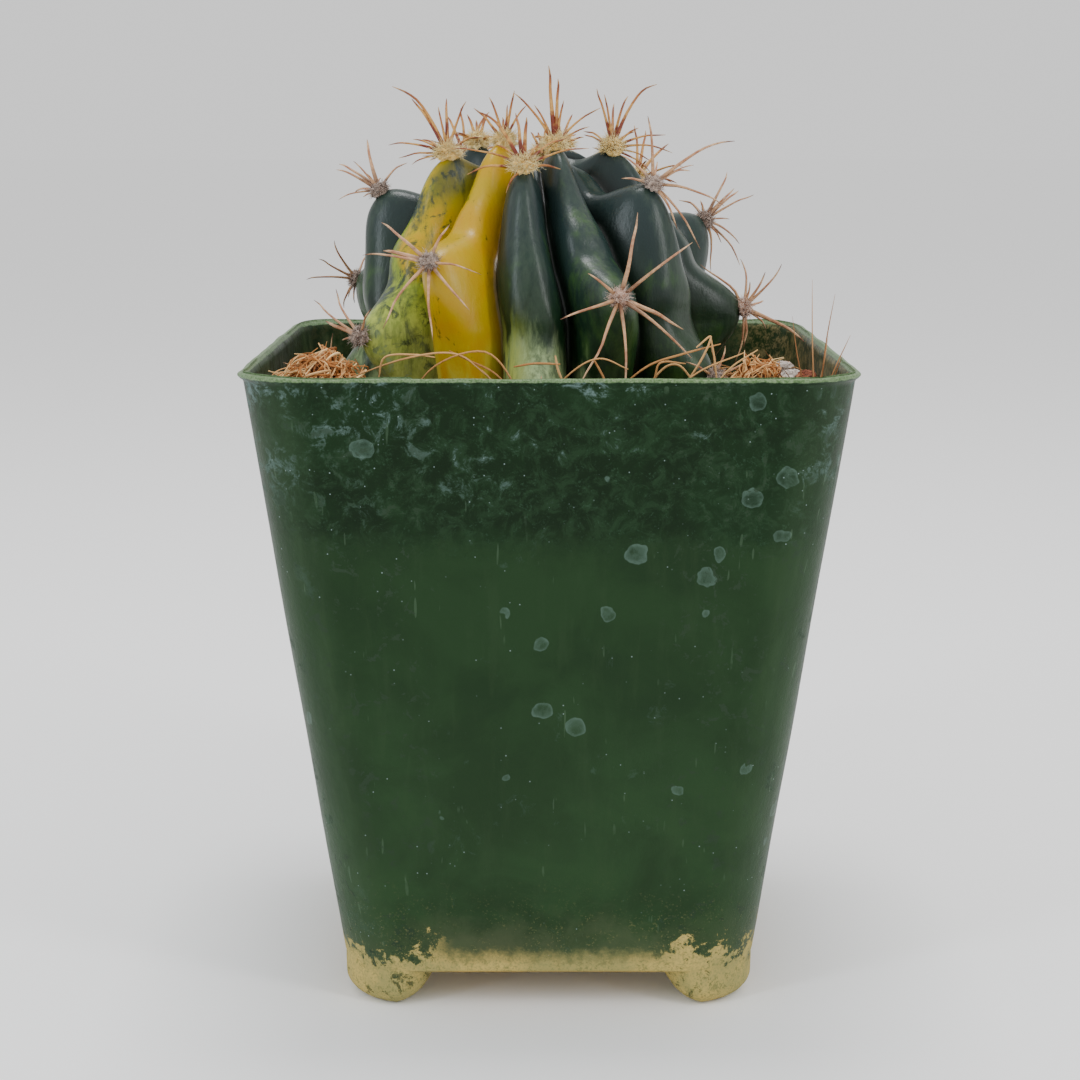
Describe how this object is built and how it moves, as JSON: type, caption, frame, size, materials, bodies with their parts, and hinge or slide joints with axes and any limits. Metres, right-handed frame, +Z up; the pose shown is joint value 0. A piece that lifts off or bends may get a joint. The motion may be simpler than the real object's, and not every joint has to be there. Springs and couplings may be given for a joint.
{
  "type": "potted round cactus",
  "caption": "Round ribbed cactus with woolly, spined areoles, growing in a square tapered nursery pot on four feet, with pumice and coir on the potting mix.",
  "frame": {"origin": "middle of the pot's base, on the surface that its four feet stand on", "axes": "+Z up out of the pot, along the stem; -Y is the front, +X to the right seen from the front"},
  "size_m": [0.089, 0.089, 0.1417],
  "materials": {
    "pot_plastic": "satin moulded plastic, bleached and lime-marked at the feet",
    "stem_skin": "waxy skin with a grey bloom and yellow variegation",
    "root_bark": "rough corky bark",
    "potting_mix": "coarse dark mix",
    "spines": "banded horny spines with wool at their base",
    "dry_spines": "dry and dark",
    "pumice": "porous pale stone",
    "coir": "felted coconut fibre",
    "bark": "red-brown bark"
  },
  "bodies": {
    "root": {"areole_00": "spines", "areole_01": "spines", "areole_02": "spines", "areole_03": "spines", "areole_04": "spines", "areole_05": "spines", "areole_06": "spines", "areole_07": "spines", "areole_08": "spines", "areole_09": "spines", "areole_10": "spines", "areole_11": "spines", "areole_12": "spines", "areole_13": "spines", "areole_14": "spines", "areole_15": "spines", "areole_16": "spines", "areole_17": "spines", "areole_18": "spines", "areole_19": "spines", "areole_20": "spines", "areole_21": "spines", "areole_22": "spines", "areole_23": "spines", "areole_24": "spines", "bark_chip": "bark", "coir_fibre_1": "coir", "coir_fibre_2": "coir", "coir_fibre_3": "coir", "coir_fibre_4": "coir", "coir_left": "coir", "coir_right": "coir", "dry_spine_tuft": "dry_spines", "pot": "pot_plastic", "potting_mix": "potting_mix", "pumice_1": "pumice", "pumice_2": "pumice", "pumice_3": "pumice", "pumice_4": "pumice", "pumice_5": "pumice", "pumice_6": "pumice", "stem": "stem_skin", "taproot": "root_bark"}
  },
  "joints": []
}
